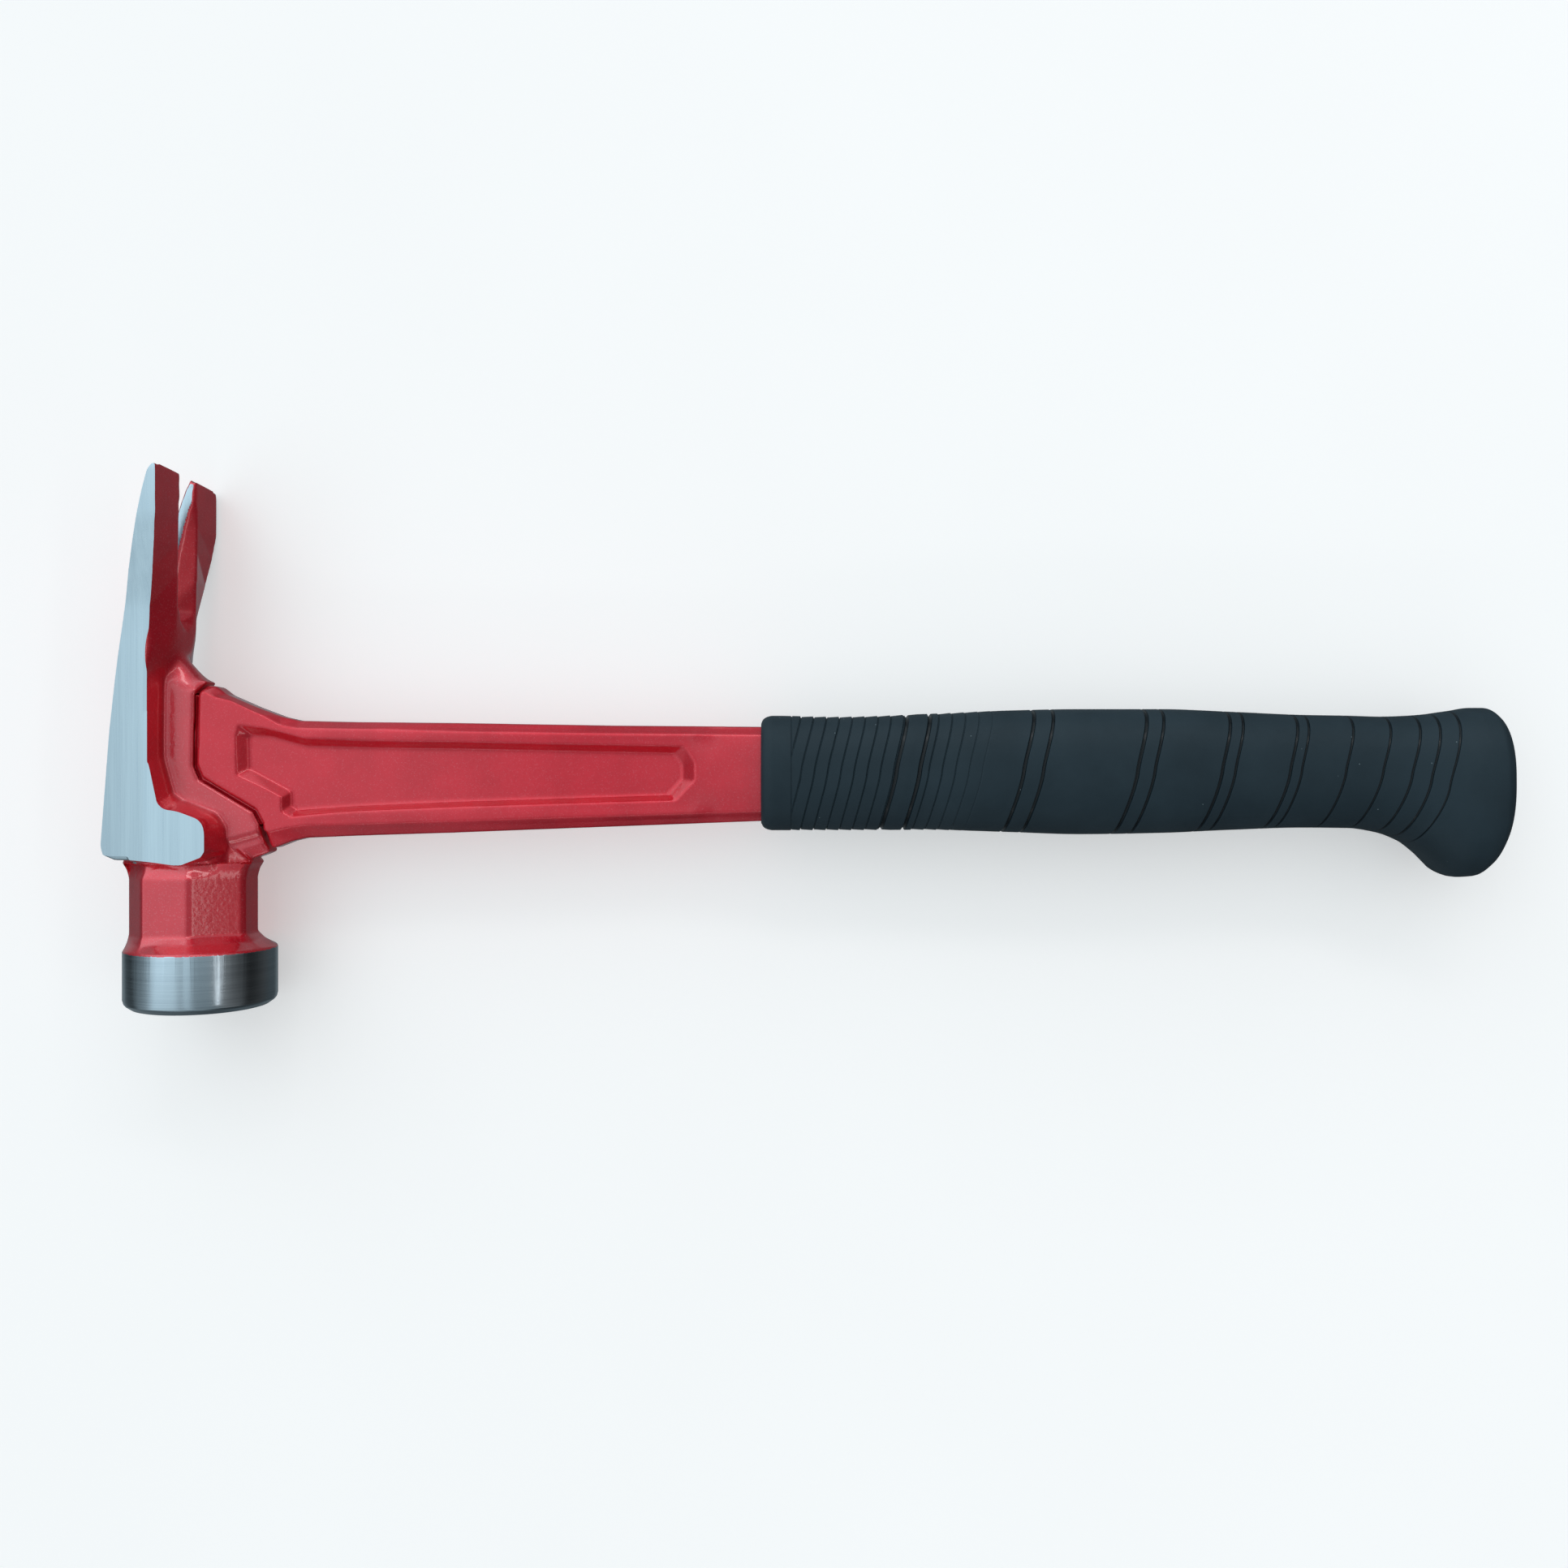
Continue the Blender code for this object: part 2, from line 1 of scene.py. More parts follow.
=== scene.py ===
"""The visual model of a claw hammer lying on its side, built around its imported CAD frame.

+X runs from the head to the butt of the grip, +Y from the striking face to the claw, +Z up.
Lengths are in millimetres until a mesh is made, and MM turns them into metres.
"""

import math

import bmesh
import bpy
import numpy as np
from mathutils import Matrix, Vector


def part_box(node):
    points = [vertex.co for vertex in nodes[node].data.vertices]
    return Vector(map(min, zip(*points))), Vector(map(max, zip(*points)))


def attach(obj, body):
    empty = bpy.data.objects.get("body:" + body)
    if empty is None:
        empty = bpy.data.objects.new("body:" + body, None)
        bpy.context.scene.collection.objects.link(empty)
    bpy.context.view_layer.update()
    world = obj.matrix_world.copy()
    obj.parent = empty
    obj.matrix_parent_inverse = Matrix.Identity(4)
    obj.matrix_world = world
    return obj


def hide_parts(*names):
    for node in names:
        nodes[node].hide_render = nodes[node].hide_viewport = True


MM = 0.001
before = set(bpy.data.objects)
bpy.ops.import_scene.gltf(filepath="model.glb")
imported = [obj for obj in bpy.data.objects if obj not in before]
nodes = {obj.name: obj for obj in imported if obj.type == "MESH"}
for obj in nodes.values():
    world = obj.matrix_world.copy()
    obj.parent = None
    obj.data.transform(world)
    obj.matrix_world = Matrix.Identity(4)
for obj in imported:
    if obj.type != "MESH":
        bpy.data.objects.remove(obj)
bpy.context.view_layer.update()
head_low, head_high = (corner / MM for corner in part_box("hammer_head"))
MID = (head_low.z + head_high.z) / 2  # height of the hammer's middle plane
FACE = head_low.y  # the striking face
TIP = head_high.y  # the claw's tip
POLL_RADIUS = (head_high.z - head_low.z) / 2
POLL_X = head_low.x + 18.9  # the poll's axis
POLL_BACK = FACE + 13.6  # where the turned rim ends
MERGE_DISTANCE = 0.002  # corners closer than this are one corner
SMOOTH_ANGLE = 60  # forged and welded skins stay smooth up to this bend, in degrees
CRISP_ANGLE = 24  # the head's ground edges stay sharp past this one

scene = bpy.context.scene


# ---------------------------------------------------------------- meshes


def new_object(name, data):
    obj = bpy.data.objects.new(name, data)
    scene.collection.objects.link(obj)
    return obj


def mesh_of(name, points, faces):
    """A mesh from points in millimetres, with its faces turned outwards."""
    mesh = bpy.data.meshes.new(name)
    mesh.from_pydata([[c * MM for c in point] for point in points], [], faces)
    bm = bmesh.new()
    bm.from_mesh(mesh)
    bmesh.ops.remove_doubles(bm, verts=bm.verts, dist=MERGE_DISTANCE * MM)
    bmesh.ops.recalc_face_normals(bm, faces=bm.faces)
    bm.to_mesh(mesh)
    bm.free()
    return mesh


def copy_of(node, name):
    """A new object with a CAD node's surface, its split corners joined again."""
    mesh = nodes[node].data.copy()
    mesh.materials.clear()
    bm = bmesh.new()
    bm.from_mesh(mesh)
    bmesh.ops.remove_doubles(bm, verts=bm.verts, dist=MERGE_DISTANCE * MM)
    bm.to_mesh(mesh)
    bm.free()
    for attribute in ("custom_normal", "sharp_face", "sharp_edge"):
        if attribute in mesh.attributes:
            mesh.attributes.remove(mesh.attributes[attribute])
    return new_object(name, mesh)


def apply_modifiers(obj):
    """Keep what an object's modifiers make as its own mesh."""
    bpy.context.view_layer.update()
    graph = bpy.context.evaluated_depsgraph_get()
    mesh = bpy.data.meshes.new_from_object(obj.evaluated_get(graph))
    obj.modifiers.clear()
    obj.data = mesh


def points_of(obj):
    """An object's points in millimetres, as rows."""
    found = np.empty(len(obj.data.vertices) * 3)
    obj.data.vertices.foreach_get("co", found)
    return found.reshape(-1, 3) / MM


def move_points(obj, points):
    obj.data.vertices.foreach_set("co", (points * MM).ravel())
    obj.data.update()


def remeshed(obj, size, rounds):
    """An even fine skin, its edges then rounded by smoothing."""
    remesh = obj.modifiers.new("Remesh", "REMESH")
    remesh.mode = "VOXEL"
    remesh.voxel_size = size * MM
    soften = obj.modifiers.new("Soften", "SMOOTH")
    soften.factor = 0.5
    soften.iterations = rounds
    apply_modifiers(obj)


def cut(obj, cutter):
    """Take a cutter's solid away from an object, and delete the cutter."""
    boolean = obj.modifiers.new("Cut", "BOOLEAN")
    boolean.operation = "DIFFERENCE"
    boolean.solver = "MANIFOLD"
    boolean.object = cutter
    apply_modifiers(obj)
    bpy.data.objects.remove(cutter)


def loft_mesh(name, rings, caps=True):
    """A mesh through closed rings of points, one after another."""
    count = len(rings[0])
    points = [point for ring in rings for point in ring]
    faces = []
    for r in range(len(rings) - 1):
        for i in range(count):
            j = (i + 1) % count
            a, b = r * count, (r + 1) * count
            faces.append((a + i, a + j, b + j, b + i))
    if caps:
        faces.append(list(range(count))[::-1])
        faces.append([(len(rings) - 1) * count + i for i in range(count)])
    return mesh_of(name, points, faces)


def smoothstep(low, high, value):
    t = np.clip((value - low) / (high - low), 0, 1)
    return t * t * (3 - 2 * t)


def band(value, start, full, fade, end):
    """One between full and fade, and nothing before start and after end."""
    return smoothstep(start, full, value) * (1 - smoothstep(fade, end, value))


def spline(table, at):
    """Rows of (position, value, ...) read at other positions along a smooth curve."""
    table = np.array(table, float)
    order = np.argsort(table[:, 0])
    x, values = table[order, 0], table[order, 1:]
    slopes = np.zeros_like(values)
    step = np.diff(x)[:, None]
    rise = np.diff(values, axis=0) / step
    left, right = rise[:-1], rise[1:]
    same = left * right > 0
    # The harmonic mean keeps the curve from running past its own points.
    slopes[1:-1] = np.where(same, 2 * left * right / np.where(same, left + right, 1), 0)
    slopes[0], slopes[-1] = rise[0], rise[-1]
    at = np.clip(np.asarray(at, float), x[0], x[-1])
    i = np.clip(np.searchsorted(x, at) - 1, 0, len(x) - 2)
    h = (x[i + 1] - x[i])[..., None]
    t = ((at - x[i]) / (x[i + 1] - x[i]))[..., None]
    a = (2 * t**3 - 3 * t**2 + 1) * values[i] + (t**3 - 2 * t**2 + t) * h * slopes[i]
    b = (-2 * t**3 + 3 * t**2) * values[i + 1] + (t**3 - t**2) * h * slopes[i + 1]
    return a + b


def ease(obj, weight, rounds):
    """Smooth a mesh only where the weight says so."""
    mesh = obj.data
    edges = np.empty(len(mesh.edges) * 2, np.int64)
    mesh.edges.foreach_get("vertices", edges)
    edges = edges.reshape(-1, 2)
    edges = edges[(weight[edges] > 0).any(axis=1)]
    points = points_of(obj)
    count = np.maximum(np.bincount(edges.ravel(), minlength=len(points)), 1)
    for _ in range(rounds):
        for axis in range(3):
            value = points[:, axis]
            total = np.bincount(edges[:, 0], value[edges[:, 1]], len(points))
            total += np.bincount(edges[:, 1], value[edges[:, 0]], len(points))
            points[:, axis] = value + 0.5 * weight * (total / count - value)
    move_points(obj, points)


def distance_to(path, points):
    """How far points are from a line of straight pieces, seen from above."""
    found = np.full(len(points), 1e9)
    path = np.array(path, float)
    for a, b in zip(path, path[1:]):
        along = np.clip((points[:, :2] - a) @ (b - a) / ((b - a) @ (b - a)), 0, 1)
        found = np.minimum(found, np.linalg.norm(points[:, :2] - a - along[:, None] * (b - a), axis=1))
    return found


def set_materials(obj, *materials):
    obj.data.materials.clear()
    for material in materials:
        obj.data.materials.append(material)


def shade(obj, angle):
    """Smooth shading, with edges sharper than the angle kept crisp."""
    obj.data.shade_smooth()
    obj.data.set_sharp_from_angle(angle=math.radians(angle))


# ---------------------------------------------------------------- the head

HEAD_VOXEL, HEAD_ROUNDS = 0.27, 8
WELD_VOXEL, WELD_ROUNDS = 0.25, 3
LIP_DEPTH, BEAD_DEPTH = 0.4, 1.1  # how far the groove's lips and the bead between them are sunk
WEB_ROUNDS, CREST_ROUNDS = 50, 160
FLANK_SLOPE = 0.21  # the flank leans in by this much a millimetre, towards the head's top
FLANK_REACH = 13.0  # how far over the head its cutter goes
SPARE = 0.45  # stock left on the head's sides for the grinding
GROUND_HALF = 11.6  # half width of the ground cheek
FOOT_END = 6.0  # below this y the cheek's foot is flat across
GROUND_LINE = (  # half width of the claw's ground flank, as (y, half width at the underside, x there)
    (-30.0, GROUND_HALF, -147.2), (13.0, GROUND_HALF, -147.2), (22.6, GROUND_HALF, -147.0),
    (28.6, 11.8, -146.5), (37.3, 13.3, -145.4), (44.0, 14.8, -144.1), (49.8, 15.7, -143.4),
    (54.6, 15.8, -143.4), (58.6, 15.8, -143.4), (64.0, 14.8, -143.4),
)  # fmt: skip
JOINT_PATH = (  # the groove between head and shank
    (-135.2, 14.6), (-138.0, 12.4), (-139.3, 10.2), (-139.7, -5.9), (-138.5, -8.9),
    (-126.3, -16.2), (-124.7, -19.2), (-124.5, -21.7), (-122.8, -26.2),
)  # fmt: skip
WEB_CREST = ((-143.5, 19.5), (-138.0, 15.5), (-135.0, 12.6))  # where the web meets the claw
SLIT = ((34.0, 1.0), (TIP - 0.3, 4.0), (TIP + 3.0, 4.4))  # between the tines, as (y, half width)


def sink_joint(obj, depth=LIP_DEPTH):
    """The forging's lips are rounded, so both sides dip towards the groove."""
    points = points_of(obj)
    w = points[:, 2] - MID
    near = np.exp(-((distance_to(JOINT_PATH, points) / 0.75) ** 2)) * smoothstep(2.5, 3.5, np.abs(w))
    points[:, 2] -= np.sign(w) * depth * near
    move_points(obj, points)


def web_softness(points):
    """The forged web and the hollow at the tines' root are soft, and the joint's lips stay crisp."""
    x, y = points[:, 0], points[:, 1]
    w = np.abs(points[:, 2] - MID)
    web = band(x, -151.5, -149.5, -128.0, -126.0)
    web *= band(y, -22.0, -19.5, 15.0, 23.0) * smoothstep(3.0, 4.0, w)
    web *= 1 - smoothstep(9.0, 10.2, w) * (1 - smoothstep(-145.5, -144.0, x))
    hollow = smoothstep(28.0, 32.0, y) * (1 - smoothstep(3.6, 4.6, w)) * smoothstep(-152.0, -150.0, x)
    return np.maximum(web * smoothstep(1.2, 2.6, distance_to(JOINT_PATH, points)), 0.7 * hollow)


def crest_softness(points):
    """The web's upper end runs out into the claw's underside with no edge."""
    far = distance_to(WEB_CREST, points)
    return (1 - smoothstep(3.2, 6.2, far)) * smoothstep(0.9, 2.2, distance_to(JOINT_PATH, points))


def flank_cutter(side):
    """All that lies beyond the ground flank on one side, which bends evenly into the flat foot."""
    past, outside = 15.0, 25.0
    rings = []
    for y in np.linspace(-29.0, TIP + 2.0, 220):
        half, under = spline(GROUND_LINE, y)
        clear, away = (0.0, 0.0) if y < FOOT_END else (0.1, 3.0)
        outline = (
            (under - FLANK_REACH, half - FLANK_SLOPE * FLANK_REACH),
            (under - 1.3, half - FLANK_SLOPE * 1.3),
            (under - 0.5, half - 0.12),
            (under + 0.4, half - 0.03 + clear),
            (under + 1.3, half + clear),
            (under + past, half + away),
            (under + past, outside),
            (under - FLANK_REACH, outside),
        )
        rings.append([(x, y, MID + side * w) for x, w in outline])
    return new_object("flank_cutter", loft_mesh("flank_cutter", rings))


def rim_cutter():
    """A ring of waste around the striking poll, which leaves its turned rim, chamfer and face."""
    profile = (
        (POLL_BACK + 0.35, 30.0),
        (POLL_BACK + 0.35, POLL_RADIUS - 0.05),
        (POLL_BACK - 0.1, POLL_RADIUS - 0.04),
        (FACE + 2.4, POLL_RADIUS - 0.04),
        (FACE + 1.5, POLL_RADIUS - 0.28),
        (FACE + 0.8, POLL_RADIUS - 0.85),
        (FACE + 0.25, POLL_RADIUS - 1.7),
        (FACE + 0.03, POLL_RADIUS - 2.5),
        (FACE + 0.03, 0.01),
        (FACE - 5.0, 0.01),
        (FACE - 5.0, 30.0),
    )
    steps = 240
    rings = []
    for i in range(steps):
        a = 2 * math.pi * i / steps
        rings.append([(POLL_X + r * math.cos(a), y, MID + r * math.sin(a)) for y, r in profile])
    rings.append(rings[0])
    return new_object("rim_cutter", loft_mesh("rim_cutter", rings, caps=False))


def slot_cutter():
    """The slit between the tines, ground a little wider than it was forged."""
    outline = list(SLIT[::-1])
    outline += [(SLIT[0][0] - math.sin(t), math.cos(t)) for t in np.linspace(0.3, math.pi - 0.3, 9)]
    outline += [(y, -w) for y, w in SLIT]
    rings = [[(x, y, MID + w) for y, w in outline] for x in (-162.0, -135.0)]
    return new_object("slot_cutter", loft_mesh("slot_cutter", rings))


def undercut(head):
    """A shallow fillet starts the neck under the cheek, and the web's lower corner is slanted off."""
    points = points_of(head)
    x, y, w = points[:, 0], points[:, 1], points[:, 2] - MID
    neck_top, neck_end = -28.2, -31.4
    neck = (y < neck_top) & (y > neck_end) & (np.abs(w) > 5.0)
    rise = np.clip((y - neck_end) / (neck_top - neck_end), 0, 1) ** 1.3
    depth = np.where(neck, 1.1 * rise, 0.0)
    past = 0.25 * (x + 130.8) - 0.97 * (y + 21.9)
    corner = smoothstep(-134.5, -132.0, x) * smoothstep(3.5, 5.0, np.abs(w)) * (y > neck_top)
    depth += 0.45 * np.clip(past, 0, 6) * corner
    points[:, 2] -= np.sign(w) * depth
    move_points(head, points)


def make_head(paint, ground, turned, struck):
    """The forged head: its skin is softened first, and the ground and turned faces are cut last."""
    head = copy_of("hammer_head", "hammer_head_forging")
    points = points_of(head)
    across = points[:, 2] - MID
    outer = (np.abs(across) > 8.0) & (points[:, 1] > -28.6) & (points[:, 0] < -134.0)
    points[outer, 2] += np.sign(across[outer]) * SPARE
    # The claw's underside runs evenly into the cheek's edge.
    pinch = (np.abs(across) > 9.0) & (points[:, 0] > -148.5) & (points[:, 1] > 12.0)
    points[pinch, 0] -= 0.9 * np.exp(-(((points[pinch, 1] - 29.0) / 7.5) ** 2))
    move_points(head, points)
    remeshed(head, HEAD_VOXEL, HEAD_ROUNDS)
    ease(head, web_softness(points_of(head)), WEB_ROUNDS)
    ease(head, crest_softness(points_of(head)), CREST_ROUNDS)
    undercut(head)
    sink_joint(head)
    for side in (1, -1):
        cut(head, flank_cutter(side))
    cut(head, rim_cutter())
    cut(head, slot_cutter())
    set_materials(head, paint, ground, turned, struck)
    paint_or_steel(head)
    shade(head, CRISP_ANGLE)
    return head


def paint_or_steel(head):
    """The worked faces are bare steel: the flanks, the turned rim, the face and the slit's inside."""
    count = len(head.data.polygons)
    centres, normals = np.empty(count * 3), np.empty(count * 3)
    head.data.polygons.foreach_get("center", centres)
    head.data.polygons.foreach_get("normal", normals)
    centres, normals = centres.reshape(-1, 3) / MM, normals.reshape(-1, 3)
    x, y, w = centres[:, 0], centres[:, 1], np.abs(centres[:, 2] - MID)
    out = normals[:, 2] * np.sign(centres[:, 2] - MID)
    line = spline(GROUND_LINE, y)
    flank = line[:, 0] - FLANK_SLOPE * np.maximum(line[:, 1] - x, 0.0)
    flank = np.where((y < FOOT_END) & (x > line[:, 1]), GROUND_HALF, flank)
    ground = (np.abs(w - flank) < 0.13) & (out > 0.9) & (y > -29.0) & (x < -133.0)
    ground |= (out > 0.25) & (w > 7.5) & (y < -24.5) & (y > -28.0) & (x < -150.5)  # its lower edge
    radius = np.hypot(x - POLL_X, centres[:, 2] - MID)
    rim = (y < POLL_BACK + 0.3) & (radius > POLL_RADIUS - 0.09)
    rim |= (y < FACE + 2.45) & ((radius > POLL_RADIUS - 2.6) & (normals[:, 1] < -0.05) | (y < FACE + 0.06))
    half = np.interp(y, *zip(*SLIT))
    slit = (np.abs(w - half) < 0.03) & (out < -0.9) & (y > 33.0)
    struck = (y < FACE + 0.06) & (normals[:, 1] < -0.9)
    kind = np.select([struck, rim, ground | slit], [3, 2, 1], 0)
    head.data.polygons.foreach_set("material_index", kind.astype(np.int32))


def make_weld(paint):
    """The weld bead at the bottom of the groove, sunk deeper than the lips beside it."""
    weld = copy_of("joint_weld", "joint_weld_bead")
    remeshed(weld, WELD_VOXEL, WELD_ROUNDS)
    sink_joint(weld, BEAD_DEPTH)
    set_materials(weld, paint)
    shade(weld, SMOOTH_ANGLE)
    return weld


# ---------------------------------------------------------------- the shank


SHANK_VOXEL, SHANK_ROUNDS = 0.3, 10


def make_shank(paint):
    """The forged shank with its tang, its edges rounded."""
    shank = copy_of("handle_shank", "handle_shank_forging")
    remeshed(shank, SHANK_VOXEL, SHANK_ROUNDS)
    sink_joint(shank)
    points = points_of(shank)
    x, y, w = points[:, 0], points[:, 1], points[:, 2] - MID
    # Past the recess the bar swells to a smooth crown, as far as the collar.
    middle = -8.0 + 0.002 * x
    crown = smoothstep(-28.0, -20.0, x) * 0.2 * np.clip(np.abs(y - middle) / 10.5, 0, 1) ** 2.5
    crown *= 1 - smoothstep(-9.0, -2.0, x)
    # Both flanges are faintly rounded between their outer chamfers and the recess.
    along = band(x, -120.0, -112.0, -30.0, -22.0)
    upper = np.exp(-(((y - 0.9) / 1.3) ** 2))
    lower = np.exp(-(((y + 17.0) / 1.5) ** 2))
    bead = along * 0.03 * (upper + lower) * (np.abs(w) > 3.8)
    points[:, 2] = MID + w * (1 - crown + bead)
    move_points(shank, points)
    set_materials(shank, paint)
    shade(shank, SMOOTH_ANGLE)
    return shank


# ---------------------------------------------------------------- the grip

GRIP_SECTIONS = (  # the outline, as (x, top y, bottom y, half thickness)
    (-11.3, 3.7, -19.0, 8.6), (-11.05, 4.4, -19.7, 9.3), (-10.5, 4.95, -20.3, 9.8),
    (-9.6, 5.35, -20.65, 10.15), (-8.7, 5.5, -20.8, 10.3), (6.0, 5.3, -20.8, 10.6),
    (26.0, 5.9, -20.7, 11.2), (45.3, 6.7, -21.2, 11.9), (61.3, 7.0, -21.7, 12.3),
    (80.3, 7.0, -21.4, 12.3), (96.3, 6.4, -20.7, 12.0), (112.3, 5.7, -20.2, 11.7),
    (123.3, 5.5, -20.3, 11.6), (130.3, 5.3, -21.3, 11.7), (136.5, 5.5, -23.6, 12.1),
    (141.3, 5.9, -27.2, 12.7), (144.8, 6.4, -30.6, 13.2), (147.6, 6.8, -31.5, 13.6),
    (150.8, 7.3, -31.3, 13.8), (153.4, 7.3, -29.5, 13.6), (155.4, 6.1, -26.6, 12.4),
    (157.1, 3.4, -22.6, 9.9), (158.4, -0.8, -16.8, 6.2), (159.0, -5.8, -11.8, 2.6),
)  # fmt: skip
RING_POINTS = 200
SQUARENESS = 2.5  # 2 is an ellipse, and more is squarer
FRONT = GRIP_SECTIONS[0][0]  # the collar's end face
SLEEVE_WALL = 3.1
FRONT_WALL = 3.2
CORE_END = 153.4
SHANK_MIDDLE, SHANK_HALF_DEPTH, SHANK_HALF_THICK = -8.0, 11.3, 5.0  # the opening in that face
SEAM = -4.4  # where the collar ends
FINE_PITCH = 2.93
FINE_LINES = [-2.2 + FINE_PITCH * i for i in range(9)] + [29.1, 32.1, 35.1, 38.2, 41.2]
WIDE_GROOVES = (  # as (x at the top, half width, depth)
    (21.9, 0.55, 0.55), (27.1, 0.55, 0.55), (50.5, 0.5, 0.5), (54.8, 0.45, 0.5),
    (75.7, 0.5, 0.5), (79.5, 0.42, 0.5), (94.4, 0.45, 0.5), (97.3, 0.38, 0.45),
    (109.5, 0.42, 0.45), (112.0, 0.33, 0.4), (122.0, 0.36, 0.4), (130.4, 0.36, 0.4),
    (136.9, 0.36, 0.4), (141.2, 0.36, 0.4), (145.6, 0.36, 0.35),
)  # fmt: skip
LEAN = (  # how far a groove leans from top to bottom, as (x at the top, lean)
    (-12.0, 6.0), (21.9, 6.0), (51.4, 6.9), (80.3, 7.1), (113.0, 6.8),
    (123.0, 7.1), (132.0, 7.6), (143.4, 8.3), (147.3, 9.8), (160.0, 9.8),
)  # fmt: skip
RINGS_AT_WIDE = (-1.15, -1, -0.85, -0.7, -0.55, -0.3, 0, 0.3, 0.55, 0.7, 0.85, 1, 1.15)  # in half widths
RINGS_AT_FINE = (-0.26, -0.2, -0.15, -0.11, -0.06, -0.03, 0, 0.05, 0.11, 0.15, 0.2, 0.3)
RING_GAP = 0.025  # rings closer than this are left out


def lean_of(top_x, share):
    """How far a groove has come back towards the head, at a share of the way from the top to the bottom."""
    return spline(LEAN, top_x)[..., 0] * (0.62 * share + 0.38 * smoothstep(0.0, 1.0, share))


def grip_outline(x, angles, inset=0.0):
    """Points of the plain grip at these places along it and these angles around it, with z from MID."""
    top, bottom, half = spline(GRIP_SECTIONS, x).T
    power = 2 / SQUARENESS
    c, s = np.cos(angles), np.sin(angles)
    y = (top + bottom) / 2 + ((top - bottom) / 2 - inset) * np.sign(c) * np.abs(c) ** power
    w = (half - inset) * np.sign(s) * np.abs(s) ** power
    return np.stack([x, y, w], -1)


def dip(distance, half, depth):
    """A round-bottomed groove's depth at a distance from its middle."""
    return depth * (1 - smoothstep(half * 0.55, half, np.abs(distance)))


def groove_depth(top_x, x, share):
    """How deep the pattern is cut at a place, and how much of that is polished groove bottom, darkened with
    painted shade.
    """
    deep = np.zeros_like(x)
    polished_and_shaded = np.zeros_like(x)
    fade = 1 - smoothstep(29.0, 46.0, top_x)
    for start in FINE_LINES:
        ahead = top_x - start
        step = 0.2 * np.clip(1 - ahead / FINE_PITCH, 0, 1) * (ahead >= -0.06)
        fine = dip(ahead, 0.2, 0.22) + step * (ahead < FINE_PITCH * 0.96)
        deep = np.maximum(deep, fine * fade)
    for start, half, depth in WIDE_GROOVES:
        cut_here = dip(top_x - start, half, depth)
        deep = np.maximum(deep, cut_here)
        # This share polishes the groove bottom and also paints shade into it.
        polished_and_shaded = np.maximum(polished_and_shaded, cut_here / depth)
    collar = smoothstep(SEAM - 0.05, SEAM + 0.05, x)
    deep, polished_and_shaded = deep * collar, polished_and_shaded * collar
    deep = np.maximum(deep, dip(x - SEAM, 0.16, 0.2))
    return deep, polished_and_shaded


def ring_places():
    """Where the rings cross the grip's top: close together at each groove and at the ends."""
    places = list(np.linspace(-11.3, -8.7, 14)) + list(np.arange(-8.2, -5.2, 0.6))
    places += list(np.arange(-5.2, 14.0, 0.13))
    places += list(np.arange(14.0, 45.0, 0.2))
    places += list(np.arange(45.0, 150.0, 0.8)) + list(np.linspace(150.0, 159.0, 40))
    for start, half, _ in WIDE_GROOVES:
        places += list(start + half * np.array(RINGS_AT_WIDE))
    for start in FINE_LINES:
        places += list(start + np.array(RINGS_AT_FINE))
    places = np.sort(np.array(places))
    return places[np.concatenate([[True], np.diff(places) > RING_GAP])]


def make_grip(rubber):
    """The sleeve as one skin: its inside, the opening round the shank, and the grooved outside."""
    steps = RING_POINTS
    angles = 2 * np.pi * np.arange(steps) / steps
    rings, shaded_polish_rows = [], []
    for place in ring_places():
        # A ring leans like the grooves do, and stands upright at the collar and the butt.
        share = (1 - np.cos(angles)) / 2
        upright = band(place, -5.5, 9.0, 147.6, 152.5)
        x = place - upright * lean_of(np.full(steps, place), share)
        plain = grip_outline(x, angles)
        top_x = x
        for _ in range(6):
            top_x = x + lean_of(top_x, share)
        deep, polished_and_shaded = groove_depth(top_x, x, share)
        deep = deep * (1 - smoothstep(148.6, 150.0, x))
        middle_y = (plain[:, 1].max() + plain[:, 1].min()) / 2
        inward = np.stack([np.zeros(steps), middle_y - plain[:, 1], -plain[:, 2]], -1)
        inward /= np.linalg.norm(inward, axis=1)[:, None]
        plain += inward * deep[:, None]
        plain[:, 2] += MID
        rings.append(plain)
        shaded_polish_rows.append(polished_and_shaded)
    front = core_room(angles) + front_lip(rings[0], angles)
    points = np.concatenate(front + rings)
    shaded_polish = np.concatenate([np.zeros(steps * len(front)), np.concatenate(shaded_polish_rows)])
    total = len(front) + len(rings)
    faces = []
    for r in range(total - 1):
        for i in range(steps):
            j = (i + 1) % steps
            faces.append((r * steps + i, r * steps + j, (r + 1) * steps + j, (r + 1) * steps + i))
    faces.append([(total - 1) * steps + i for i in range(steps)])
    faces.append(list(range(steps))[::-1])
    mesh = bpy.data.meshes.new("grip_sleeve_moulded")
    mesh.from_pydata((points * MM).tolist(), [], faces)
    grip = new_object("grip_sleeve_moulded", mesh)
    # The groove bottoms' share: their real polish, and their painted shade.
    polish_and_painted_shade = mesh.attributes.new("polish_and_painted_shade", "FLOAT", "POINT")
    polish_and_painted_shade.data.foreach_set("value", shaded_polish.astype(np.float32))
    mesh.materials.append(rubber)
    grip.data.shade_smooth()
    return grip


def core_room(angles):
    """The sleeve's inside, from its butt end to behind the collar's end face."""
    rings = []
    for x in np.linspace(CORE_END, FRONT + FRONT_WALL + 0.05, 70):
        rings.append(grip_outline(np.full(len(angles), x), angles, SLEEVE_WALL))
        rings[-1][:, 2] += MID
    return rings


